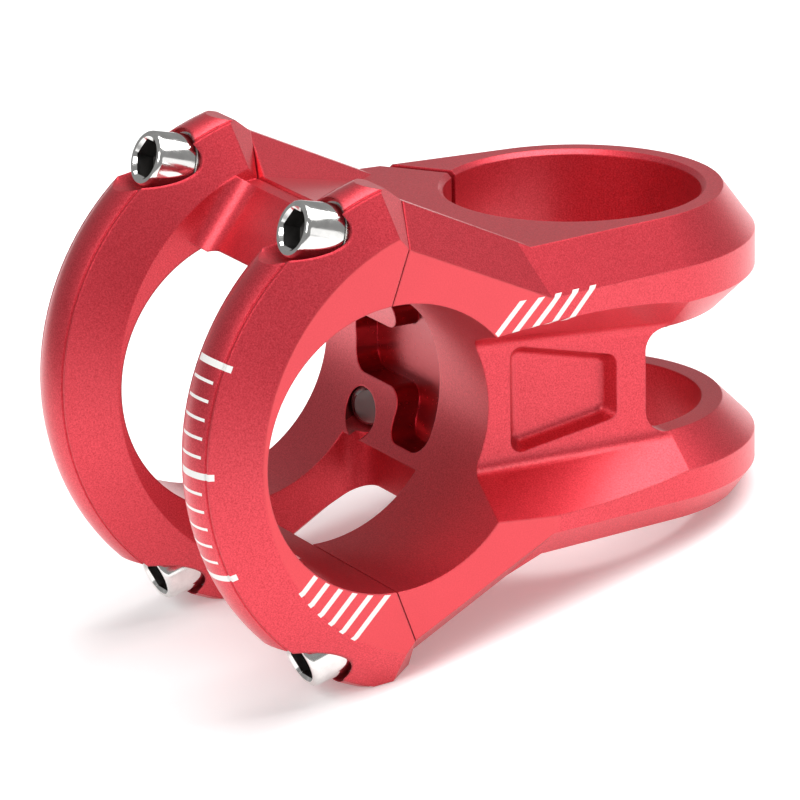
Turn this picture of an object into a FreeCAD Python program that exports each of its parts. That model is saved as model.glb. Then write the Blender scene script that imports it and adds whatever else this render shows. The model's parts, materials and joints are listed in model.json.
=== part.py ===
import FreeCAD, Part
import math
import os
from collections import namedtuple

from FreeCAD import Vector

# Handlebar stem, in millimetres.
# X is lateral, -Y points forward to the handlebar, +Z is up.
# The origin is on the steerer axis, at the height of the handlebar axis.

# Driving dimensions
EXTENSION = 35.0              # steerer axis to handlebar axis
BAR_BORE_R = 15.9             # 31.8 mm handlebar
STEERER_BORE_R = 14.3         # 1 1/8 inch steerer tube
HALF_WIDTH = 22.0             # half the width of the bar clamp
SPLIT_LEAN = math.radians(20.2)   # the split leans back from vertical
CLAMP_GAP = 0.12              # slot left between faceplate and body

# Steerer clamp rings
RING_R = 20.2                 # outer radius of the rings at the back
BAND_FOOT = 9.6               # the vertical band of each ring starts at this height

# Outer face of the body: height of its flat, top of the vertical band, run of the chamfer
# between them, and height of the ridges at the split. The lower face is flatter than the upper.
Face = namedtuple("Face", "flat band chamfer ridge")
UPPER = Face(18.45, 13.6, 3.5, 25.88)
LOWER = Face(15.7, 12.9, 2.0, 24.8)
GAP_HALF = 6.0                # half the height of the gap between the two rings
GAP_FRONT_Y = -0.6            # front wall of that gap
GAP_CORNER_R = 2.6            # rounded top and bottom of that wall
SLIT_ANGLE = math.radians(216.0)  # direction of the clamp slit, seen from above
SLIT_WIDTH = 1.1

# Sloping front of the body, from the split back to the flat around the steerer
SPLIT_RIDGE_Y = -31.92        # y of the split at the height of the upper ridge
SIDE_FOOT_Y = -33.42          # where the side face meets the split, and how high
SIDE_FOOT_Z = 21.75
SLOPE_END_Y = -16.5
TAPER_START_Y = -16.0
RIDGE_OUTER_X = 18.0
RIDGE_INNER_X = 15.8
VALLEY_Z = 22.1               # height of the valley floor at the split
VALLEY_END_Y = -19.0

# Faceplate
STRIP_CENTRE_Y = -28.0        # the front outline is an arc about this point
STRIP_R = 29.35
BEVEL_CENTRE_Y = -27.1        # the edge of the side face is an arc about this point
BEVEL_R = 24.2
ARC_MID_X = 16.5              # middle of each arc, and of its screws
ARC_HALF = 5.5                # half the width of an arc at its side faces
STRIP_HALF = 2.9              # half the width of the strip along its front
WINDOW_CORNER_R = 3.0

# Screws: M5 socket heads
SCREW_R = 2.5
HEAD_R = 3.6                  # the head tapers from this radius to the one at its face
HEAD_FACE_R = 2.85
HEAD_LENGTH = 4.4
HEAD_RIM = 0.3                # chamfer round the face of a head
WASHER_THICKNESS = 0.5
WASHER_R = 3.8
COUNTERBORE_R = 4.15
HEX_ACROSS = 4.0
UPPER_SCREW_HEIGHT = 19.7     # distance of the screw axis from the handlebar axis
LOWER_SCREW_HEIGHT = 18.9
FACE_SEAT = 6.3               # seat of the washer, measured forward from the split
FACE_SCREW_LENGTH = 16.0
FACE_HOLE_SPARE = 1.2         # drilled past the tip of the screw
PINCH_RADIUS = 21.5           # distance of the pinch screws from the steerer axis
PINCH_Z = 7.4
PINCH_SEAT = 3.5
PINCH_HEAD_LENGTH = 3.5
PINCH_SCREW_LENGTH = 12.0
HEAD_RIM_LENGTH = 0.45
SOCKET_DEPTH = 2.6
SOCKET_FLOOR = 1.4            # least metal left under a socket
SOCKET_TURN = math.radians(15)
TAPPED_CLEARANCE = 0.05       # on radius, as are the other clearances
FACE_HOLE_CLEARANCE = 0.2
PINCH_HOLE_CLEARANCE = 0.25
WASHER_CLEARANCE = 0.15

# Hollows behind the handlebar
HOLLOW_R = 18.7
HOLLOW_NEAR_X = 3.2
HOLLOW_FAR_X = -4.8
HOLLOW_WIDE_X = -15.3         # between the two screw bosses the hollow is wider
HOLLOW_HALF_Z = 8.6
BOSS_LOW_Z = 3.4
HOLLOW_CORNER_R = 2.4
HOLLOW_REACH = 30.0
POCKET_FAR_X = -12.8
POCKET_NEAR_X = 3.5
POCKET_BACK_Y = -19.6
POCKET_TOP_Z = 9.8
UPPER_POCKET_Z = 16.0         # the upper pocket stops short of the valley

POCKET_CORNER_R = 3.0

# Recess along the near side of the waist: its section at the front and at the back
GROOVE_FRONT_Y = -30.0
GROOVE_FRONT_FLOOR = (12.2, 7.9)   # x of the floor, and half its height
GROOVE_BACK_Y = 2.5
GROOVE_BACK_BAND_X = 20.04
GROOVE_BACK_FLOOR_X = 16.5
GROOVE_CORNER_R = 2.2

# Keystone pocket in the floor of the recess, tall at the front
KEYSTONE_FRONT = (-16.6, 6.3)      # y, and half its height
KEYSTONE_BACK = (-4.0, 3.6)
KEYSTONE_DEPTH = 1.9
KEYSTONE_SIDE_R = 1.4
KEYSTONE_FLOOR_R = 1.2

# Rim of the steerer bore
BORE_CHAMFER = 0.5
BORE_CHAMFER_DEPTH = 1.6

# Front of the faceplate and the trimmed ends of its lugs
STRIP_STEP = 0.75             # the crown of the bead stands this far above the bevels
BEAD_FOOT = 0.15              # upright edge of the bead
BEAD_INSET = 0.45             # ledge between the bead and a bevel
BRIDGE_TOP_DEPTH = 1.7        # width of the flat on top of the bridge
BRIDGE_FOOT = (-40.3, 14.6)   # y and z where the sloping front of the bridge meets the bore
LUG_TOP = (-35.7, 27.95)      # y and z of a point on the flat that ends an upper lug
LUG_BACK = (-34.2, 27.65)
LUG_BOTTOM = (-36.2, -26.9)
LUG_END_SLOPE = 0.18
LUG_RIDGE = (-35.7, 27.9)     # y and z of the ridge behind the flat
LUG_RIDGE_HALF = 3.1          # half the width of the ridge, and of its foot at the split
LUG_RIDGE_FOOT_HALF = 1.4

FAR = 80.0                    # longer than the part, for cutting tools


def vec(x, y, z):
    return Vector(x, y, z)


def prism_x(points, x_low, x_high):
    """Closed outline of (y, z) points, extruded along X."""
    wire = Part.makePolygon([vec(x_low, y, z) for y, z in points + points[:1]])
    return Part.Face(wire).extrude(vec(x_high - x_low, 0, 0))


def prism_z(points, z_low, z_high):
    """Closed outline of (x, y) points, extruded along Z."""
    wire = Part.makePolygon([vec(x, y, z_low) for x, y in points + points[:1]])
    return Part.Face(wire).extrude(vec(0, 0, z_high - z_low))


def block_beyond(point, normal):
    """A large block on the far side of a plane."""
    block = Part.makeBox(2 * FAR, 2 * FAR, FAR, vec(-FAR, -FAR, 0))
    turn = FreeCAD.Rotation(vec(0, 0, 1), normal)
    block.Placement = FreeCAD.Placement(point, turn)
    return block


def plane_through(a, b, c, inside):
    """Point and normal of the plane through three points, with the normal away from inside."""
    normal = (b - a).cross(c - a)
    normal.normalize()
    if normal.dot(inside - a) > 0:
        normal = normal * -1
    return a, normal


def cylinder_x(radius, centre_y, x_low, x_high, centre_z=0.0):
    return Part.makeCylinder(radius, x_high - x_low, vec(x_low, centre_y, centre_z), vec(1, 0, 0))


def mirror_z(shape):
    return shape.mirror(vec(0, 0, 0), vec(0, 0, 1))


def mirror_x(shape):
    return shape.mirror(vec(0, 0, 0), vec(1, 0, 0))


# Frame of the split: a screw axis points forward and up, square to the split plane
SCREW_DIR = vec(0, -math.cos(SPLIT_LEAN), math.sin(SPLIT_LEAN))
SPLIT_UP = vec(0, math.sin(SPLIT_LEAN), math.cos(SPLIT_LEAN))
BAR_CENTRE = vec(0, -EXTENSION, 0)
SPLIT_POINT = vec(0, SPLIT_RIDGE_Y, UPPER.ridge)
SPLIT_FORWARD = (SPLIT_POINT - BAR_CENTRE).dot(SCREW_DIR)


def face_screw_point(x, height, forward):
    """Point on an upper faceplate screw's axis, at a distance forward of the split plane."""
    base = BAR_CENTRE + SCREW_DIR * (SPLIT_FORWARD + forward) + SPLIT_UP * height
    return vec(x, base.y, base.z)


def split_edge(offset, height):
    """Point (y, z) on the split plane, moved forward by offset, at a height z."""
    point = SPLIT_POINT + SCREW_DIR * offset
    return point.y + (height - point.z) * math.tan(SPLIT_LEAN), height


def behind_split():
    """Everything behind the two split planes."""
    top = split_edge(-CLAMP_GAP / 2, 40.0)
    inner = split_edge(-CLAMP_GAP / 2, 12.0)
    outline = [top, inner, (inner[0], -inner[1]), (top[0], -top[1]), (FAR, -40.0), (FAR, 40.0)]
    return prism_x(outline, -FAR, FAR)


def ahead_of_split():
    """Everything ahead of the two split planes."""
    top = split_edge(CLAMP_GAP / 2, 40.0)
    inner = split_edge(CLAMP_GAP / 2, 12.0)
    outline = [top, inner, (inner[0], -inner[1]), (top[0], -top[1]), (-FAR, -40.0), (-FAR, 40.0)]
    return prism_x(outline, -FAR, FAR)


def side_profile():
    """The body seen from the side."""
    front_y = -45.0
    outline = []
    for sign, face in ((1, UPPER), (-1, LOWER)):
        ridge_y = split_edge(0, face.ridge)[0]
        slope = (face.ridge - face.flat) / (ridge_y - SLOPE_END_Y)
        front_z = face.flat + slope * (front_y - SLOPE_END_Y)
        half = [(front_y, sign * front_z), (SLOPE_END_Y, sign * face.flat), (RING_R + 1, sign * face.flat)]
        outline += half if sign > 0 else half[::-1]
    return prism_x(outline, -HALF_WIDTH, HALF_WIDTH)


def taper_tangent():
    """Point where the tapered side runs into the round back."""
    corner_angle = math.atan2(TAPER_START_Y, HALF_WIDTH)
    corner_distance = math.hypot(TAPER_START_Y, HALF_WIDTH)
    angle = corner_angle + math.acos(RING_R / corner_distance)
    return RING_R * math.cos(angle), RING_R * math.sin(angle), angle


def plan_outline():
    """The body seen from above: straight sides, a slight taper and a round back."""
    tangent_x, tangent_y, _ = taper_tangent()
    points = [
        vec(-tangent_x, tangent_y, 0), vec(-HALF_WIDTH, TAPER_START_Y, 0), vec(-HALF_WIDTH, -60, 0),
        vec(HALF_WIDTH, -60, 0), vec(HALF_WIDTH, TAPER_START_Y, 0), vec(tangent_x, tangent_y, 0),
    ]
    edges = [Part.makeLine(a, b) for a, b in zip(points, points[1:])]
    edges.append(Part.Arc(points[-1], vec(0, RING_R, 0), points[0]).toShape())
    face = Part.Face(Part.Wire(edges))
    face.translate(vec(0, 0, -40))
    return face.extrude(vec(0, 0, 80))


def outer_chamfer(face):
    """What the big chamfer round the outer face takes away, drawn for a face on top."""
    tangent_x, tangent_y, angle = taper_tangent()
    inside = vec(0, 0, 0)
    rise = face.flat - face.band
    cutters = []
    for side in (1, -1):
        foot_front = vec(side * HALF_WIDTH, SIDE_FOOT_Y, SIDE_FOOT_Z)
        foot_back = vec(side * HALF_WIDTH, TAPER_START_Y, face.band)
        slope_top = vec(side * RIDGE_OUTER_X, split_edge(0, face.ridge)[0], face.ridge)
        taper_foot = vec(side * tangent_x, tangent_y, face.band)
        inward = vec(-side * math.cos(angle), -math.sin(angle), 0) * face.chamfer
        taper_top = taper_foot + inward + vec(0, 0, rise)
        point, normal = plane_through(foot_front, foot_back, slope_top, inside)
        above_slope = block_beyond(point, normal)
        point, normal = plane_through(foot_back, taper_foot, taper_top, inside)
        above_taper = block_beyond(point, normal)
        cutters.append(above_slope.common(above_taper))
    reach = 40.0
    wedge = prism_z(
        [(0, 0), (reach * math.cos(angle), reach * math.sin(angle)), (reach, reach),
         (-reach, reach), (-reach * math.cos(angle), reach * math.sin(angle))],
        face.band, face.flat + 2)
    slope = face.chamfer / rise
    height = rise + 2.5
    cone = Part.makeCone(RING_R, RING_R - slope * height, height, vec(0, 0, face.band))
    cutters.append(wedge.cut(cone))
    return cutters


def valley(face):
    """The dished valley between the two ridges, drawn for a face on top."""
    ridge_y = split_edge(0, face.ridge)[0]
    ridge_slope = (face.ridge - face.flat) / (ridge_y - SLOPE_END_Y)
    valley_y = split_edge(0, VALLEY_Z)[0]
    floor_slope = (VALLEY_Z - face.flat) / (valley_y - VALLEY_END_Y)
    front = -50.0
    floor_front = face.flat + floor_slope * (front - VALLEY_END_Y)
    back = SLOPE_END_Y + 0.5
    shape = prism_x(
        [(front, floor_front), (VALLEY_END_Y, face.flat), (back, face.flat), (back, 60), (front, 60)],
        -RIDGE_OUTER_X, RIDGE_OUTER_X)
    for side in (1, -1):
        ridge_front = vec(side * RIDGE_INNER_X, front, face.flat + ridge_slope * (front - SLOPE_END_Y))
        ridge_back = vec(side * RIDGE_INNER_X, SLOPE_END_Y, face.flat)
        lower = ridge_back + vec(-side * 2.0, 0, -1.5)
        point, normal = plane_through(ridge_front, ridge_back, lower, vec(0, -20, 40))
        shape = shape.cut(block_beyond(point, normal))
    return shape


def rear_gap():
    """The gap between the two clamp rings, with sloped faces towards the bands."""
    reach = 30.0
    inner_r = RING_R - (BAND_FOOT - GAP_HALF)
    outer_z = BAND_FOOT + (reach - RING_R)
    outline = [
        vec(0, 0, -GAP_HALF), vec(inner_r, 0, -GAP_HALF), vec(reach, 0, -outer_z),
        vec(reach, 0, outer_z), vec(inner_r, 0, GAP_HALF), vec(0, 0, GAP_HALF),
    ]
    spun = Part.Face(Part.makePolygon(outline + outline[:1])).revolve(vec(0, 0, 0), vec(0, 0, 1), 360)
    keep = Part.makeBox(2 * reach, reach + 10, 2 * reach, vec(-reach, GAP_FRONT_Y, -reach))
    corner_z = GAP_HALF - GAP_CORNER_R
    corner = Part.makeBox(2 * inner_r, GAP_CORNER_R, GAP_CORNER_R, vec(-inner_r, GAP_FRONT_Y, corner_z))
    corner = corner.cut(cylinder_x(GAP_CORNER_R, GAP_FRONT_Y + GAP_CORNER_R, -inner_r, inner_r, corner_z))
    return spun.common(keep).cut(corner).cut(mirror_z(corner))


def near_groove():
    """The long recess along the near side of the waist."""
    def section(y, band_x, waist_x, waist_z):
        slope = (BAND_FOOT - waist_z) / (band_x - waist_x)
        out_x = 32.0
        out_z = waist_z + slope * (out_x - waist_x)
        points = [
            vec(waist_x, y, -waist_z), vec(out_x, y, -out_z),
            vec(out_x, y, out_z), vec(waist_x, y, waist_z),
        ]
        return Part.makePolygon(points + points[:1])
    front = section(GROOVE_FRONT_Y, HALF_WIDTH, *GROOVE_FRONT_FLOOR)
    back = section(GROOVE_BACK_Y, GROOVE_BACK_BAND_X, GROOVE_BACK_FLOOR_X, GAP_HALF)
    groove = Part.makeLoft([front, back], True, True)
    if groove.Volume < 0:
        groove.reverse()
    inner = [edge for edge in groove.Edges if edge.BoundBox.XMax < 20 and edge.Length > 20]
    return groove.makeFillet(GROOVE_CORNER_R, inner)


def groove_floor_x(y):
    """How far out the floor of the recess lies at a given y."""
    front_x = GROOVE_FRONT_FLOOR[0]
    slope = (GROOVE_BACK_FLOOR_X - front_x) / (GROOVE_BACK_Y - GROOVE_FRONT_Y)
    return front_x + slope * (y - GROOVE_FRONT_Y)


def side_pocket():
    """Shallow keystone pocket in the near side of the waist, with drafted sides."""
    front_y, front_half = KEYSTONE_FRONT
    back_y, back_half = KEYSTONE_BACK
    middle_y = (front_y + back_y) / 2
    half_length = (back_y - front_y) / 2

    def outline(draft, depth):
        along = 1 - draft / half_length
        points = []
        corners = ((front_y, front_half), (back_y, back_half), (back_y, -back_half), (front_y, -front_half))
        for y, z in corners:
            y = middle_y + (y - middle_y) * along
            z = z * (1 - draft / front_half)
            points.append(vec(groove_floor_x(y) - depth, y, z))
        return Part.makePolygon(points + points[:1])
    pocket = Part.makeLoft([outline(-1.2, -2.4), outline(1.0, KEYSTONE_DEPTH)], True, True)
    if pocket.Volume < 0:
        pocket.reverse()
    side_edges = [edge for edge in pocket.Edges if abs(edge.tangentAt(edge.FirstParameter).x) > 0.5]
    pocket = pocket.makeFillet(KEYSTONE_SIDE_R, side_edges)
    floor = [edge for edge in pocket.Edges if edge.BoundBox.XMax < 14.2 and edge.BoundBox.XLength < 1.9]
    return pocket.makeFillet(KEYSTONE_FLOOR_R, floor)


def bar_hollow():
    """Lightening hollow behind the handlebar: a tall slot, wider between the two screw bosses."""
    def block(x_low, x_high, z_half):
        return Part.makeBox(x_high - x_low, HOLLOW_REACH, 2 * z_half, vec(x_low, -HOLLOW_REACH, -z_half))
    tall = block(HOLLOW_FAR_X, HOLLOW_NEAR_X, HOLLOW_HALF_Z)
    wide = block(HOLLOW_WIDE_X, HOLLOW_NEAR_X, BOSS_LOW_Z)
    shape = tall.fuse(wide).removeSplitter()
    corners = [edge for edge in shape.Edges if abs(edge.tangentAt(0).y) > 0.9]
    shape = shape.makeFillet(HOLLOW_CORNER_R, corners)
    return shape.common(cylinder_x(HOLLOW_R, -EXTENSION, -FAR, FAR))


def lower_pocket(z_low, z_high):
    """Pocket between the pads, milled up from one face of the body."""
    shape = Part.makeBox(
        POCKET_NEAR_X - POCKET_FAR_X, 25, z_high - z_low, vec(POCKET_FAR_X, POCKET_BACK_Y - 25, z_low))
    back = [edge for edge in shape.Edges
            if abs(edge.tangentAt(0).z) > 0.9 and edge.BoundBox.YMax > POCKET_BACK_Y - 1]
    return shape.makeFillet(POCKET_CORNER_R, back)


SLIT_DIR = vec(math.cos(SLIT_ANGLE), math.sin(SLIT_ANGLE), 0)
PINCH_DIR = vec(SLIT_DIR.y, -SLIT_DIR.x, 0)


def slit():
    """The clamp slit from the steerer bore out through the far side."""
    length = 30.0
    shape = Part.makeBox(length, SLIT_WIDTH, 80, vec(10.0, -SLIT_WIDTH / 2, -40))
    shape.rotate(vec(0, 0, 0), vec(0, 0, 1), math.degrees(SLIT_ANGLE))
    return shape


def pinch_point(height, along):
    """Point on a pinch screw's axis, at a distance past the slit."""
    base = SLIT_DIR * PINCH_RADIUS + PINCH_DIR * along
    return vec(base.x, base.y, height)


def pinch_holes(height):
    """Tapped hole, clearance hole and counterbore of one pinch screw."""
    tapped = Part.makeCylinder(SCREW_R + TAPPED_CLEARANCE, 20, pinch_point(height, -20), PINCH_DIR)
    clear = Part.makeCylinder(SCREW_R + PINCH_HOLE_CLEARANCE, 10, pinch_point(height, 0), PINCH_DIR)
    bore = Part.makeCylinder(COUNTERBORE_R, 20, pinch_point(height, PINCH_SEAT), PINCH_DIR)
    return [tapped, clear, bore]


def face_tapped_hole(x, height):
    """Tapped hole in the body for one upper faceplate screw."""
    bottom = face_screw_point(x, height, FACE_SEAT - FACE_SCREW_LENGTH - FACE_HOLE_SPARE)
    return Part.makeCylinder(SCREW_R + FACE_HOLE_CLEARANCE, FACE_SCREW_LENGTH, bottom, SCREW_DIR)


def build_body():
    body = side_profile().common(plan_outline())
    body = body.common(behind_split())
    for cutter in outer_chamfer(UPPER) + [valley(UPPER)]:
        body = body.cut(cutter)
    for cutter in outer_chamfer(LOWER) + [valley(LOWER)]:
        body = body.cut(mirror_z(cutter))
    body = body.cut(rear_gap())
    body = body.cut(near_groove())
    body = body.cut(side_pocket())
    body = body.cut(bar_hollow())
    body = body.cut(lower_pocket(-40.0, -POCKET_TOP_Z))
    body = body.cut(lower_pocket(POCKET_TOP_Z, UPPER_POCKET_Z))
    body = body.cut(cylinder_x(BAR_BORE_R, -EXTENSION, -FAR, FAR))
    body = body.cut(Part.makeCylinder(STEERER_BORE_R, 80, vec(0, 0, -40)))
    for sign, face in ((1, UPPER), (-1, LOWER)):
        rim = Part.makeCone(
            STEERER_BORE_R, STEERER_BORE_R + BORE_CHAMFER_DEPTH, BORE_CHAMFER_DEPTH,
            vec(0, 0, sign * (face.flat - BORE_CHAMFER)), vec(0, 0, sign))
        body = body.cut(rim)
    body = body.cut(slit())
    for height in (PINCH_Z, -PINCH_Z):
        for hole in pinch_holes(height):
            body = body.cut(hole)
    for x in (ARC_MID_X, -ARC_MID_X):
        body = body.cut(face_tapped_hole(x, UPPER_SCREW_HEIGHT))
        body = body.cut(mirror_z(face_tapped_hole(x, LOWER_SCREW_HEIGHT)))
    return body


def arc_ring():
    """The near arc of the faceplate as a full ring: a rounded bead at the front, a bevel each side."""
    def circle(x, centre_y, radius):
        return Part.Wire(Part.makeCircle(radius, vec(x, centre_y, 0), vec(1, 0, 0)))
    pieces = []
    for side in (1, -1):
        strip = circle(ARC_MID_X + side * STRIP_HALF, STRIP_CENTRE_Y, STRIP_R - STRIP_STEP)
        edge = circle(ARC_MID_X + side * ARC_HALF, BEVEL_CENTRE_Y, BEVEL_R)
        rings = [strip, edge] if side > 0 else [edge, strip]
        pieces.append(Part.makeLoft(rings, True, True))
    low_x = ARC_MID_X - STRIP_HALF
    high_x = ARC_MID_X + STRIP_HALF
    pieces.append(cylinder_x(STRIP_R - STRIP_STEP, STRIP_CENTRE_Y, low_x, high_x))
    foot = STRIP_R - STRIP_STEP
    bead_x = STRIP_HALF - BEAD_INSET
    points = [
        vec(ARC_MID_X - bead_x, STRIP_CENTRE_Y, foot - 1),
        vec(ARC_MID_X - bead_x, STRIP_CENTRE_Y, foot + BEAD_FOOT),
        vec(ARC_MID_X, STRIP_CENTRE_Y, STRIP_R),
        vec(ARC_MID_X + bead_x, STRIP_CENTRE_Y, foot + BEAD_FOOT),
        vec(ARC_MID_X + bead_x, STRIP_CENTRE_Y, foot - 1),
    ]
    edges = [
        Part.makeLine(points[0], points[1]), Part.Arc(points[1], points[2], points[3]).toShape(),
        Part.makeLine(points[3], points[4]), Part.makeLine(points[4], points[0]),
    ]
    bead = Part.Face(Part.Wire(edges)).revolve(vec(0, STRIP_CENTRE_Y, 0), vec(1, 0, 0), 360)
    return pieces[0].fuse(pieces[1:] + [bead]).removeSplitter()


def bridge():
    """The piece that joins the two arcs over the top of the window, with rounded inner corners."""
    back = split_edge(0, VALLEY_Z)[0]
    upper = vec(0, back - BRIDGE_TOP_DEPTH, VALLEY_Z - 0.5)
    lower = vec(0, BRIDGE_FOOT[0], BRIDGE_FOOT[1])
    down = lower - upper
    down.normalize()
    ahead = vec(0, down.z, -down.y)
    reach = ahead * (WINDOW_CORNER_R + 0.5)
    outline = [vec(0, back + 4, VALLEY_Z), upper, upper + reach, lower + reach, lower, vec(0, back + 4, 10)]
    stock = prism_x([(p.y, p.z) for p in outline], -ARC_MID_X, ARC_MID_X)
    window_half = ARC_MID_X - ARC_HALF
    start = upper - down * 20
    corners = [start, start + down * 60, start + down * 60 + ahead * 20, start + ahead * 20]
    window = prism_x([(p.y, p.z) for p in corners], -window_half, window_half)
    inner = [edge for edge in window.Edges
             if edge.tangentAt(0).cross(down).Length < 0.01 and (edge.CenterOfMass - upper).dot(ahead) < 1]
    window = window.makeFillet(WINDOW_CORNER_R, inner)
    within_arcs = cylinder_x(BEVEL_R, BEVEL_CENTRE_Y, -ARC_MID_X, ARC_MID_X)
    return stock.cut(window).common(within_arcs)


def lug_rear_bevels(x_side):
    """Planes that trim the back corners of a lug, on one side of the stem."""
    inside = vec(x_side * ARC_MID_X, -40, 15)
    ridge_y, ridge_z = LUG_RIDGE
    cutters = []
    for spread in (1, -1):
        ridge = vec(x_side * (ARC_MID_X + spread * LUG_RIDGE_HALF), ridge_y, ridge_z)
        back = vec(x_side * (ARC_MID_X + spread * LUG_RIDGE_FOOT_HALF), SPLIT_RIDGE_Y, UPPER.ridge)
        foot = vec(x_side * (ARC_MID_X + spread * ARC_HALF), SIDE_FOOT_Y, SIDE_FOOT_Z)
        point, normal = plane_through(ridge, back, foot, inside)
        cutters.append(block_beyond(point, normal))
    return cutters


def face_screw_holes(x, height):
    """Counterbore and shank hole in the faceplate for one upper screw."""
    bore = Part.makeCylinder(COUNTERBORE_R, 30, face_screw_point(x, height, FACE_SEAT), SCREW_DIR)
    hole = Part.makeCylinder(SCREW_R + TAPPED_CLEARANCE, 20, face_screw_point(x, height, -5), SCREW_DIR)
    return [bore, hole]


def build_faceplate():
    near = arc_ring()
    plate = near.fuse(mirror_x(near))
    plate = plate.common(ahead_of_split())
    top = block_beyond(vec(0, *LUG_TOP), vec(0, LUG_END_SLOPE, 1.0))
    back = block_beyond(vec(0, *LUG_BACK), vec(0, 0.62, 0.8))
    bottom = block_beyond(vec(0, *LUG_BOTTOM), vec(0, LUG_END_SLOPE, -1.0))
    for cutter in [top, back, bottom]:
        plate = plate.cut(cutter)
    for side in (1, -1):
        for cutter in lug_rear_bevels(side):
            half = Part.makeBox(FAR, 2 * FAR, FAR, vec(0 if side > 0 else -FAR, -FAR, 0))
            cutter = cutter.common(half)
            plate = plate.cut(cutter).cut(mirror_z(cutter))
    joint = bridge().common(ahead_of_split())
    plate = plate.fuse([joint, mirror_z(joint)])
    plate = plate.cut(cylinder_x(BAR_BORE_R, -EXTENSION, -FAR, FAR))
    for x in (ARC_MID_X, -ARC_MID_X):
        for cutter in face_screw_holes(x, UPPER_SCREW_HEIGHT):
            plate = plate.cut(cutter)
        for cutter in face_screw_holes(x, LOWER_SCREW_HEIGHT):
            plate = plate.cut(mirror_z(cutter))
    return plate.removeSplitter()


def screw(seat, direction, shank_length, head_length, face_r):
    """Socket head screw: seat is the underside of the head, direction points out of the face."""
    shank = Part.makeCylinder(SCREW_R, shank_length, seat - direction * shank_length, direction)
    cone = Part.makeCone(HEAD_R, face_r + HEAD_RIM, head_length - HEAD_RIM_LENGTH, seat, direction)
    rim_foot = seat + direction * (head_length - HEAD_RIM_LENGTH)
    face = Part.makeCone(face_r + HEAD_RIM, face_r, HEAD_RIM_LENGTH, rim_foot, direction)
    depth = min(SOCKET_DEPTH, head_length - SOCKET_FLOOR)
    corner_r = HEX_ACROSS / math.sqrt(3)
    across = direction.cross(vec(0, 0, 1))
    across.normalize()
    up = across.cross(direction)
    base = seat + direction * (head_length - depth)
    corners = []
    for i in range(6):
        turn = math.radians(60 * i) + SOCKET_TURN
        corners.append(base + across * (corner_r * math.cos(turn)) + up * (corner_r * math.sin(turn)))
    socket = Part.Face(Part.makePolygon(corners + corners[:1])).extrude(direction * (depth + 1))
    return shank.fuse([cone, face]).removeSplitter().cut(socket)


def washer(seat, direction):
    """Flat washer on a seat, under a screw head."""
    disc = Part.makeCylinder(WASHER_R, WASHER_THICKNESS, seat, direction)
    return disc.cut(Part.makeCylinder(SCREW_R + WASHER_CLEARANCE, WASHER_THICKNESS, seat, direction))


def face_screw(x, height):
    seat = face_screw_point(x, height, FACE_SEAT + WASHER_THICKNESS)
    return screw(seat, SCREW_DIR, FACE_SCREW_LENGTH, HEAD_LENGTH, HEAD_FACE_R)


def face_washer(x, height):
    return washer(face_screw_point(x, height, FACE_SEAT), SCREW_DIR)


def pinch_screw(height):
    seat = pinch_point(height, PINCH_SEAT + WASHER_THICKNESS)
    return screw(seat, PINCH_DIR, PINCH_SCREW_LENGTH, PINCH_HEAD_LENGTH, HEAD_FACE_R)


def pinch_washer(height):
    return washer(pinch_point(height, PINCH_SEAT), PINCH_DIR)


PARTS = {"stem_body": build_body(), "faceplate": build_faceplate()}
for side, x in (("near", ARC_MID_X), ("far", -ARC_MID_X)):
    PARTS["faceplate_bolt_top_" + side] = face_screw(x, UPPER_SCREW_HEIGHT)
    PARTS["faceplate_bolt_bottom_" + side] = mirror_z(face_screw(x, LOWER_SCREW_HEIGHT))
    PARTS["faceplate_washer_top_" + side] = face_washer(x, UPPER_SCREW_HEIGHT)
    PARTS["faceplate_washer_bottom_" + side] = mirror_z(face_washer(x, LOWER_SCREW_HEIGHT))
for level, height in (("upper", PINCH_Z), ("lower", -PINCH_Z)):
    PARTS["steerer_bolt_" + level] = pinch_screw(height)
    PARTS["steerer_washer_" + level] = pinch_washer(height)

os.makedirs("parts", exist_ok=True)
for name, shape in PARTS.items():
    print(name, shape.isValid(), len(shape.Solids), round(shape.Volume, 1), shape.BoundBox)
    shape.exportStep("parts/" + name + ".step")
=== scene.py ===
import json
import math

import bmesh
import bpy
from mathutils import Matrix, Vector


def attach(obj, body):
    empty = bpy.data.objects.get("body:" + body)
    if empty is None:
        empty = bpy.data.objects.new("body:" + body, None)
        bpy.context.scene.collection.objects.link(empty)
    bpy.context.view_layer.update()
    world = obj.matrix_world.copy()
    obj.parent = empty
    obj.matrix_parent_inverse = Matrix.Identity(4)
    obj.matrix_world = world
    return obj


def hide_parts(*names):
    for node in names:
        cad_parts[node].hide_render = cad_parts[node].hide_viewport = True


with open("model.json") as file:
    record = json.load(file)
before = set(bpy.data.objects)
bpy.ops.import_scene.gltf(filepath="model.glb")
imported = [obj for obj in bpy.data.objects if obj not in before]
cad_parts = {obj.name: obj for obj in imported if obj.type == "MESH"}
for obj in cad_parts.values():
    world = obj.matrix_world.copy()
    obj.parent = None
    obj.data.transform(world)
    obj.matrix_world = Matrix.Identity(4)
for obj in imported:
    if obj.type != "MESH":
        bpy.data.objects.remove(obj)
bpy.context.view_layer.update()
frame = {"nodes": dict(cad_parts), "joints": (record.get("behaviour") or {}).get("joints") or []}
scene = bpy.context.scene
MM = 0.001
WHITE = (1, 1, 1, 1)
NOISE_RANGE = (0.3, 0.7)      # nearly all of a noise's values lie between these

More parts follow.
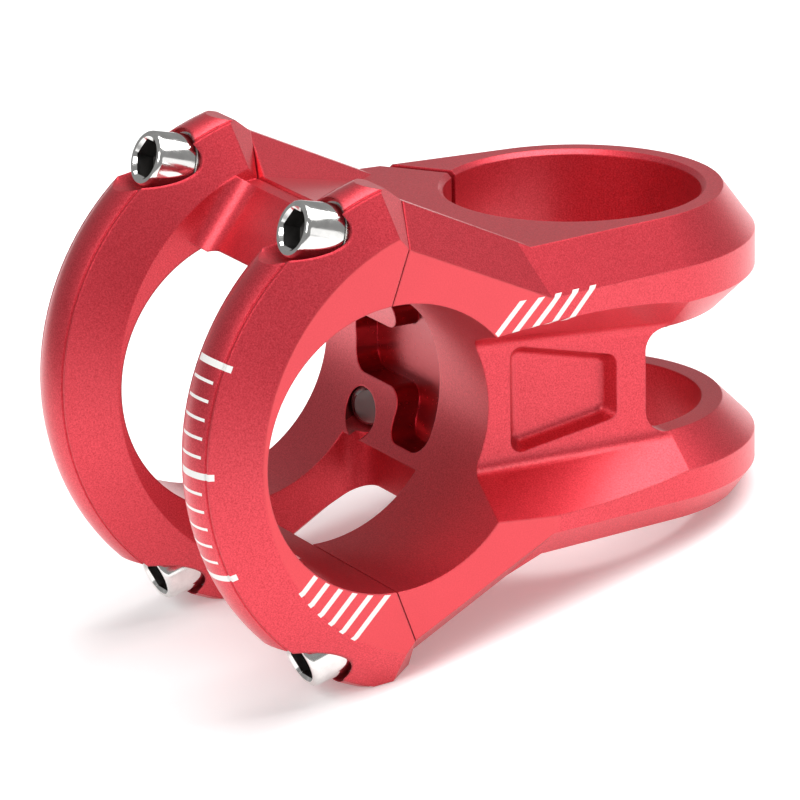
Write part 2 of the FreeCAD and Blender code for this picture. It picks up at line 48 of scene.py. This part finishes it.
# Screws, in millimetres: M5 with a 4 mm hex socket, on the axes of the CAD screws that they replace
SCREW_R = 2.5
SCREW_PITCH = 0.8
THREAD_DEPTH = 0.42
THREAD_ROWS = 7               # rings of vertices to one turn of the thread
PLAIN_SHANK = 4.0             # without a thread, under the head
TIP_LENGTH = 0.6              # the end tapers over this length
TIP_TAPER = 0.35              # and loses this much radius
HEAD_R = 3.6
HEAD_FOOT = 0.15              # chamfer round the underside of the head
HEAD_CLEARANCE = 0.02         # between the underside of a head and its washer
HEAD_FACE_R = 2.85
HEAD_RIM = 0.3                # width of the rounded rim round the face
HEAD_RIM_DEPTH = 0.45
HEAD_RIM_MIDDLE = (0.6, 0.3)  # the rim's middle: a part of its width, and the height above its foot
FACE_HEAD_LENGTH = 4.4
PINCH_HEAD_LENGTH = 3.5
HEX_ACROSS = 4.0
HEX_CHAMFER = (0.42, 0.3)     # width and depth of the chamfer round the socket's mouth
SOCKET_DEPTH = 2.4
SOCKET_LEAST_FLOOR = 1.4      # metal left under the socket's walls
SOCKET_POINT = 0.5            # depth of the cone at the bottom of the socket
SEGMENTS = 48                 # round a screw, a multiple of six so that a hex has true corners
SHARP_EDGE = 32               # degrees; edges that turn less are shaded smooth

# Places on the two red pieces that their marks, finishes and painted shade refer to, in millimetres
BAR_AXIS_Y = -35.0
BAR_BORE_R = 15.9
BORE_EDGE = 0.15              # printed bars stop this far outside the bore
SIDE_FACE_X = 21.9            # beyond this lie the two side faces
SIDE_FACE_FADE = 0.06         # the blasted finish gives way to theirs over this distance
SIDE_FACE_BLASTED = 0.25      # how much of the blasted finish they keep
# the hollow behind the bar, where shade is painted into the colour
HOLLOW_X = (-15.5, 3.4)
HOLLOW_Y = (-35.0, -15.0)
HOLLOW_Z = (-8.8, 8.8)
HOLLOW_EDGE = 0.1             # the painted shade of the hollow starts this far outside the bore

# Marks printed on the metal, in millimetres and degrees
TICK_STEP = 4.0               # graduations round the near arc
TICK_LONG_EVERY = 6
TICK_CENTRE_Y = -28.0
TICK_REACH = 27.0             # either side of straight forward
TICK_RADIUS = 29.3            # where the half widths below are measured
TICK_LEAST_RADIUS = 27.6      # the inner side of the arc has no ticks
SHORT_TICK_HALF = 0.17
SHORT_TICK_X = (14.4, 18.5)
LONG_TICK_HALF = 0.38
LONG_TICK_X = (14.4, 19.7)
BAR_HALF = 0.3                # half the width of a printed bar
BAR_LEAST_X = 19.0            # the far side has no bars
FACEPLATE_BARS = (-33.2, 2.48, 6)    # y - z of the first bar, pitch of y - z, and how many
FACEPLATE_BARS_END = -62.1           # least y + z
FACEPLATE_BARS_TOP = -11.0           # greatest z
FACEPLATE_BARS_X = 21.8              # least x
BODY_BARS = (-33.5, 2.3, 5)
BODY_BARS_Y = (-26.0, -7.0)
BODY_BARS_Z = (10.4, 13.9)

# Colours
BLASTED_REDS = ((0.55, 0.019, 0.034), (0.79, 0.062, 0.088))
SIDE_FACE_RED = (0.68, 0.054, 0.068)
# painted shade for the hollow behind the bar
HOLLOW_SHADE_RED = (0.40, 0.010, 0.020)
CLOUD_TINTS = ((0.94, 0.92, 0.92), (1.0, 1.0, 1.0))
PRINT_WHITE = (0.86, 0.85, 0.82)
PAPER_WHITES = ((0.93, 0.93, 0.93), (0.95, 0.95, 0.95))


# ---------------------------------------------------------------- camera
def place_camera():
    """A long lens looking down at the near side, three quarters from the front."""
    azimuth = math.radians(60.30)
    elevation = math.radians(17.83)
    roll = math.radians(-0.97)
    distance = 0.659
    centre = Vector((0, BAR_AXIS_Y / 2 * MM, 0))
    left_of_centre = 0.00413
    below_centre = 0.00333
    view = Vector((
        -math.sin(azimuth) * math.cos(elevation),
        math.cos(azimuth) * math.cos(elevation),
        -math.sin(elevation)))
    level = view.cross(Vector((0, 0, 1))).normalized()
    upright = level.cross(view)
    right = level * math.cos(roll) + upright * math.sin(roll)
    up = upright * math.cos(roll) - level * math.sin(roll)
    aim = centre - right * left_of_centre - up * below_centre
    camera = bpy.data.objects.new("camera", bpy.data.cameras.new("camera"))
    camera.data.sensor_width = 36
    camera.data.lens = 269.64
    camera.data.clip_start = 0.01
    rotation = Matrix((right, up, -view)).transposed()
    camera.matrix_world = Matrix.Translation(aim - view * distance) @ rotation.to_4x4()
    scene.collection.objects.link(camera)
    scene.camera = camera


# ---------------------------------------------------------------- node helpers
class Graph:
    """A new material, and short names for building its nodes."""

    def __init__(self, name):
        self.material = bpy.data.materials.new(name)
        self.material.use_nodes = True
        self.nodes = self.material.node_tree.nodes
        self.links = self.material.node_tree.links
        self.shader = self.nodes["Principled BSDF"]
        self.place = self.nodes.new("ShaderNodeTexCoord").outputs["Object"]

    def feed(self, socket, value):
        """Set a socket to a number or a tuple, or link it to another node's output."""
        if isinstance(value, (int, float, tuple)):
            socket.default_value = value
        else:
            self.links.new(value, socket)

    def calculate(self, operation, *values):
        node = self.nodes.new("ShaderNodeMath")
        node.operation = operation
        for socket, value in zip(node.inputs, values):
            self.feed(socket, value)
        return node.outputs[0]

    def plus(self, a, b):
        return self.calculate("ADD", a, b)

    def minus(self, a, b):
        return self.calculate("SUBTRACT", a, b)

    def times(self, a, b):
        return self.calculate("MULTIPLY", a, b)

    def above(self, value, limit):
        """One where the value is over the limit, else nought."""
        return self.calculate("GREATER_THAN", value, limit)

    def below(self, value, limit):
        """One where the value is under the limit, else nought."""
        return self.calculate("LESS_THAN", value, limit)

    def within(self, value, low, high):
        """One where the value lies between two numbers, else nought."""
        return self.times(self.above(value, low), self.below(value, high))

    def every(self, first, *others):
        """One where all the masks are one, else nought."""
        result = first
        for mask in others:
            result = self.times(result, mask)
        return result

    def either(self, a, b):
        """One where one of the two masks is one, else nought."""
        return self.calculate("MAXIMUM", a, b)

    def distance(self, a, b):
        """Length of the hypotenuse over two sides."""
        return self.calculate("SQRT", self.plus(self.times(a, a), self.times(b, b)))

    def noise(self, scale, detail=2.0, roughness=0.5):
        node = self.nodes.new("ShaderNodeTexNoise")
        node.inputs["Scale"].default_value = scale
        node.inputs["Detail"].default_value = detail
        node.inputs["Roughness"].default_value = roughness
        self.links.new(self.place, node.inputs["Vector"])
        return node.outputs["Fac"]

    def spread(self, value, from_low, from_high, low, high):
        """Carry one range of numbers over to another, and stop at its ends."""
        node = self.nodes.new("ShaderNodeMapRange")
        numbers = {"From Min": from_low, "From Max": from_high, "To Min": low, "To Max": high}
        for name, number in numbers.items():
            node.inputs[name].default_value = number
        self.links.new(value, node.inputs["Value"])
        return node.outputs["Result"]

    def ramp(self, value, low, high, colours):
        """Carry a range of numbers over to a blend of two colours."""
        node = self.nodes.new("ShaderNodeValToRGB")
        for element, position, colour in zip(node.color_ramp.elements, (low, high), colours):
            element.position = position
            element.color = (*colour, 1)
        self.links.new(value, node.inputs["Fac"])
        return node.outputs["Color"]

    def mix(self, factor, a, b, blend="MIX"):
        node = self.nodes.new("ShaderNodeMix")
        node.data_type = "RGBA"
        node.blend_type = blend
        factor_socket, a_socket, b_socket = node.inputs[0], node.inputs[6], node.inputs[7]
        self.feed(factor_socket, factor)
        for socket, value in ((a_socket, a), (b_socket, b)):
            self.feed(socket, (*value, 1) if isinstance(value, tuple) else value)
        return node.outputs[2]

    def millimetres(self):
        """The three coordinates of the row frame, in millimetres."""
        node = self.nodes.new("ShaderNodeSeparateXYZ")
        self.links.new(self.place, node.inputs[0])
        return [self.times(output, 1 / MM) for output in node.outputs]

    def bump(self, height, strength, normal=None):
        """Roughen the shader's normal by a height in units of 0.02 mm."""
        node = self.nodes.new("ShaderNodeBump")
        node.inputs["Distance"].default_value = 0.02 * MM
        self.feed(node.inputs["Strength"], strength)
        self.links.new(height, node.inputs["Height"])
        if normal is not None:
            self.links.new(normal, node.inputs["Normal"])
        self.links.new(node.outputs["Normal"], self.shader.inputs["Normal"])


# ---------------------------------------------------------------- printed marks
def graduations(graph, x, y, z):
    """Ticks round the bead of the near arc, like those on a dial."""
    forward = graph.times(graph.minus(y, TICK_CENTRE_Y), -1.0)
    degrees = graph.times(graph.calculate("ARCTAN2", z, forward), 180 / math.pi)

    def ticks(step, half_width, x_range):
        degrees_off = graph.calculate("PINGPONG", degrees, step / 2)
        millimetres_off = graph.times(degrees_off, math.pi / 180 * TICK_RADIUS)
        return graph.every(graph.below(millimetres_off, half_width), graph.within(x, *x_range))

    short = ticks(TICK_STEP, SHORT_TICK_HALF, SHORT_TICK_X)
    long = ticks(TICK_STEP * TICK_LONG_EVERY, LONG_TICK_HALF, LONG_TICK_X)
    in_reach = graph.within(degrees, -TICK_REACH, TICK_REACH)
    outer = graph.above(graph.distance(forward, z), TICK_LEAST_RADIUS)
    return graph.every(graph.either(short, long), in_reach, outer)


def bar_distance(graph, y, z):
    """Distance from the handlebar's axis."""
    return graph.distance(graph.minus(y, BAR_AXIS_Y), z)


def diagonal_bars(graph, x, y, z, first, pitch, count):
    """A row of parallel bars at 45 degrees on the near side face."""
    across = graph.minus(graph.minus(y, z), first)
    bar = graph.below(graph.calculate("PINGPONG", across, pitch / 2), BAR_HALF * math.sqrt(2))
    row = graph.within(across, -pitch / 2, pitch * (count - 0.5))
    off_bore = graph.above(bar_distance(graph, y, z), BAR_BORE_R + BORE_EDGE)
    return graph.every(bar, row, off_bore, graph.above(x, BAR_LEAST_X))


def faceplate_marks(graph):
    x, y, z = graph.millimetres()
    bars = graph.every(
        diagonal_bars(graph, x, y, z, *FACEPLATE_BARS),
        graph.above(graph.plus(y, z), FACEPLATE_BARS_END),
        graph.below(z, FACEPLATE_BARS_TOP),
        graph.above(x, FACEPLATE_BARS_X))
    return graph.either(graduations(graph, x, y, z), bars)


def body_marks(graph):
    x, y, z = graph.millimetres()
    band = graph.every(graph.within(z, *BODY_BARS_Z), graph.within(y, *BODY_BARS_Y))
    return graph.every(diagonal_bars(graph, x, y, z, *BODY_BARS), band)


def painted_hollow_shade(graph):
    """The hollow behind the bar, where shade is painted in as a darker red, and which is given a
    smoother, shinier finish.
    """
    x, y, z = graph.millimetres()
    return graph.every(
        graph.above(bar_distance(graph, y, z), BAR_BORE_R + HOLLOW_EDGE),
        graph.within(x, *HOLLOW_X), graph.within(y, *HOLLOW_Y), graph.within(z, *HOLLOW_Z))


# ---------------------------------------------------------------- materials
def anodised(name, marks, hollow_shade=None):
    """Bead-blasted aluminium, anodised red. The side faces are machined after blasting and are smoother.
    A hollow mask, if given, paints shade into that hollow as a darker red and makes it less rough.
    """
    graph = Graph(name)
    shader = graph.shader
    grain = graph.noise(6000, 2.0, 0.6)
    pits = graph.noise(2300, 3.0, 0.6)
    cloud = graph.noise(70, 2.0)
    sideways = graph.calculate("ABSOLUTE", graph.millimetres()[0])
    fade_end = SIDE_FACE_X + SIDE_FACE_FADE
    blasted = graph.spread(sideways, SIDE_FACE_X, fade_end, 1.0, SIDE_FACE_BLASTED)

    colour = graph.mix(blasted, SIDE_FACE_RED, graph.ramp(grain, *NOISE_RANGE, BLASTED_REDS))
    colour = graph.mix(1.0, colour, graph.ramp(cloud, *NOISE_RANGE, CLOUD_TINTS), "MULTIPLY")
    rough = graph.plus(graph.spread(pits, *NOISE_RANGE, 0.34, 0.42), graph.times(blasted, 0.06))
    # painted shade: the hollow behind the bar gets a darker red, and a lower roughness
    if hollow_shade:
        hollow_shade_mask = hollow_shade(graph)
        colour = graph.mix(hollow_shade_mask, colour, HOLLOW_SHADE_RED)
        rough = graph.minus(rough, graph.times(hollow_shade_mask, 0.20))
    printed = marks(graph)
    graph.feed(shader.inputs["Base Color"], graph.mix(printed, colour, PRINT_WHITE))
    graph.feed(shader.inputs["Roughness"], graph.plus(rough, graph.times(printed, 0.15)))
    graph.feed(shader.inputs["Metallic"], graph.spread(printed, 0.0, 1.0, 0.86, 0.0))
    shader.inputs["Coat Weight"].default_value = 0.6
    shader.inputs["Coat Roughness"].default_value = 0.3

    soft_edge = graph.nodes.new("ShaderNodeBevel")
    soft_edge.samples = 4
    soft_edge.inputs["Radius"].default_value = 0.3 * MM
    graph.bump(graph.plus(grain, pits), graph.times(blasted, 0.45), soft_edge.outputs["Normal"])
    return graph.material


def steel(name, colour, roughness, bump_strength=0.05):
    """Screw steel with faint handling marks."""
    graph = Graph(name)
    marks = graph.noise(900, 4.0, 0.6)
    dark = tuple(channel * 0.88 for channel in colour)
    rough = graph.spread(marks, *NOISE_RANGE, roughness * 0.7, roughness * 1.3)
    graph.feed(graph.shader.inputs["Base Color"], graph.ramp(marks, 0.35, 0.7, (dark, colour)))
    graph.feed(graph.shader.inputs["Roughness"], rough)
    graph.feed(graph.shader.inputs["Metallic"], 1.0)
    graph.bump(marks, bump_strength)
    return graph.material


def use(obj, material):
    obj.data.materials.clear()
    obj.data.materials.append(material)


# ---------------------------------------------------------------- screws
def hex_radius(angle):
    """Distance from the axis to the wall of the hex socket, in a given direction."""
    sixth = math.pi / 3
    return HEX_ACROSS / 2 / math.cos((angle % sixth) - sixth / 2)


def thread_radius(height, angle, length):
    """A V-shaped thread, which fades out where the plain shank starts, on a shank with a tapered tip."""
    phase = (height / SCREW_PITCH - angle / (2 * math.pi)) % 1.0
    groove = abs(2 * phase - 1)
    fade = min(1.0, max(0.0, (-height - PLAIN_SHANK) / SCREW_PITCH))
    past_tip = min(1.0, (height + length) / TIP_LENGTH)
    return SCREW_R - THREAD_DEPTH * fade * groove - TIP_TAPER * (1 - past_tip)


def screw_mesh(name, head_length, length):
    """Socket head screw on its own Z axis: the underside of the head is at nought, the tip below it."""
    # Material slots: polished steel, painted shade as a dark steel for the socket and the tip's end, and
    # thread steel
    polished, shade_inside, thread = 0, 1, 2
    mesh = bmesh.new()
    angles = [2 * math.pi * i / SEGMENTS for i in range(SEGMENTS)]

    def ring(radius, height):
        """A ring of vertices, with one radius or with a function that gives it for each angle."""
        corners = []
        for angle in angles:
            reach = radius(angle) if callable(radius) else radius
            place = (reach * math.cos(angle) * MM, reach * math.sin(angle) * MM, height * MM)
            corners.append(mesh.verts.new(place))
        return corners

    def join(lower, upper, material):
        for i in range(SEGMENTS):
            j = (i + 1) % SEGMENTS
            face = mesh.faces.new((lower[i], lower[j], upper[j], upper[i]))
            face.material_index = material
            face.smooth = True

    def cap(around, height):
        """A fan of faces from a ring to a point on the axis, in the dark steel that paints shade on the
        socket's floor and the tip's end.
        """
        point = mesh.verts.new((0, 0, height * MM))
        for i in range(SEGMENTS):
            face = mesh.faces.new((point, around[(i + 1) % SEGMENTS], around[i]))
            face.material_index = shade_inside

    rows = int(length / (SCREW_PITCH / THREAD_ROWS))
    shank = []
    for row in range(rows + 1):
        height = -length * (1 - row / rows)
        shank.append(ring(lambda angle, h=height: thread_radius(h, angle, length), height))
    for lower, upper in zip(shank, shank[1:]):
        join(lower, upper, thread)

    rim = head_length - HEAD_RIM_DEPTH
    rim_part, rim_rise = HEAD_RIM_MIDDLE
    chamfer_width, chamfer_depth = HEX_CHAMFER
    floor = head_length - min(SOCKET_DEPTH, head_length - SOCKET_LEAST_FLOOR)
    outline = (
        (HEAD_R - HEAD_FOOT, HEAD_CLEARANCE, polished),
        (HEAD_R, HEAD_FOOT, polished),
        (HEAD_FACE_R + HEAD_RIM, rim, polished),
        (HEAD_FACE_R + HEAD_RIM * rim_part, rim + rim_rise, polished),
        (HEAD_FACE_R, head_length, polished),
        (HEX_ACROSS / 2 + chamfer_width, head_length, polished),
        (hex_radius, head_length - chamfer_depth, polished),
        (hex_radius, floor, shade_inside),
    )
    last = shank[-1]
    for radius, height, material in outline:
        following = ring(radius, height)
        join(last, following, material)
        last = following
    cap(shank[0], -length)
    cap(last, floor - SOCKET_POINT)

    bmesh.ops.recalc_face_normals(mesh, faces=mesh.faces)
    for edge in mesh.edges:
        if len(edge.link_faces) == 2 and edge.calc_face_angle(0) > math.radians(SHARP_EDGE):
            edge.smooth = False
    data = bpy.data.meshes.new(name)
    mesh.to_mesh(data)
    mesh.free()
    return data


def screw_ends(node, start, axis):
    """How far the tip and the face of a CAD screw lie along its axis."""
    along = [(node.matrix_world @ vertex.co - start).dot(axis) for vertex in node.data.vertices]
    return min(along), max(along)


def place_screws(finishes):
    """A detailed screw on every screw body, on the axis that its turning joint gives."""
    for joint in frame["joints"]:
        if not joint["name"].endswith("_turn"):
            continue
        body = joint["child"]
        node_name = body.replace("face_screw", "faceplate_bolt").replace("pinch_screw", "steerer_bolt")
        axis = Vector(joint["axis"]).normalized()
        start = Vector(joint["pos_m"])
        tip, face = screw_ends(frame["nodes"][node_name], start, axis)
        head_length = FACE_HEAD_LENGTH if body.startswith("face_screw") else PINCH_HEAD_LENGTH
        data = screw_mesh("screw_" + body, head_length, (face - tip) / MM - head_length)
        seat = start + axis * (face - head_length * MM)
        turn = axis.to_track_quat("Z", "Y").to_matrix().to_4x4()
        data.transform(Matrix.Translation(seat) @ turn)
        piece = bpy.data.objects.new("screw_" + body, data)
        scene.collection.objects.link(piece)
        for finish in finishes:
            piece.data.materials.append(finish)
        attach(piece, body)
        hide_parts(node_name)


# ---------------------------------------------------------------- studio
def lay_floor():
    """White paper under the bar clamp and the lower ring, whose lowest points aren't level."""
    rise_towards_back = 0.206
    point_on_floor = (0, -0.0362, -0.0270)
    mesh = bpy.data.meshes.new("floor")
    ground = bmesh.new()
    bmesh.ops.create_grid(ground, x_segments=1, y_segments=1, size=3.0)
    ground.to_mesh(mesh)
    ground.free()
    floor = bpy.data.objects.new("floor", mesh)
    scene.collection.objects.link(floor)
    floor.rotation_euler = (math.atan(rise_towards_back), 0, 0)
    floor.location = point_on_floor
    paper = Graph("floor_white")
    inputs = paper.shader.inputs
    paper.feed(inputs["Base Color"], paper.ramp(paper.noise(3), *NOISE_RANGE, PAPER_WHITES))
    paper.feed(inputs["Roughness"], paper.spread(paper.noise(60), *NOISE_RANGE, 0.85, 0.95))
    inputs["Emission Color"].default_value = WHITE
    inputs["Emission Strength"].default_value = 0.22
    use(floor, paper.material)


def fill_sky():
    world = bpy.data.worlds.new("studio")
    scene.world = world
    world.use_nodes = True
    background = world.node_tree.nodes["Background"]
    background.inputs["Color"].default_value = WHITE
    background.inputs["Strength"].default_value = 0.30


def area_lamp(name, place, size, watts):
    """A rectangular lamp, in metres, aimed at the middle of the stem."""
    middle = Vector((0, -0.02, 0))
    lamp = bpy.data.lights.new(name, "AREA")
    lamp.shape = "RECTANGLE"
    lamp.size, lamp.size_y = size
    lamp.energy = watts
    obj = bpy.data.objects.new(name, lamp)
    scene.collection.objects.link(obj)
    obj.location = place
    obj.rotation_euler = (middle - Vector(place)).to_track_quat("-Z", "Y").to_euler()


# ---------------------------------------------------------------- the whole scene
place_camera()
lay_floor()
fill_sky()
area_lamp("overhead", (0.10, 0.15, 0.85), (0.8, 0.8), 9.5)
area_lamp("front", (0.30, -0.80, 0.55), (0.45, 0.45), 3.4)
area_lamp("side", (0.85, 0.15, 0.20), (0.45, 0.35), 0.48)

polished_steel = steel("polished_steel", (0.84, 0.83, 0.81), 0.13)
# nearly black: painted shade in the hex socket and on the screw's tip down in its hole
socket_shade_steel = steel("socket_shade_steel", (0.16, 0.155, 0.15), 0.38, 0.2)
# a darker grey than the head: painted shade on the shank down in its hole, on a rougher thread finish
thread_shade_steel = steel("thread_shade_steel", (0.42, 0.41, 0.40), 0.30, 0.1)
washer_steel = steel("washer_steel", (0.60, 0.59, 0.58), 0.28)
use(frame["nodes"]["stem_body"], anodised("body_red", body_marks, painted_hollow_shade))
use(frame["nodes"]["faceplate"], anodised("faceplate_red", faceplate_marks))
for name, node in frame["nodes"].items():
    if "washer" in name:
        use(node, washer_steel)
place_screws((polished_steel, socket_shade_steel, thread_shade_steel))

scene.view_settings.view_transform = "Standard"
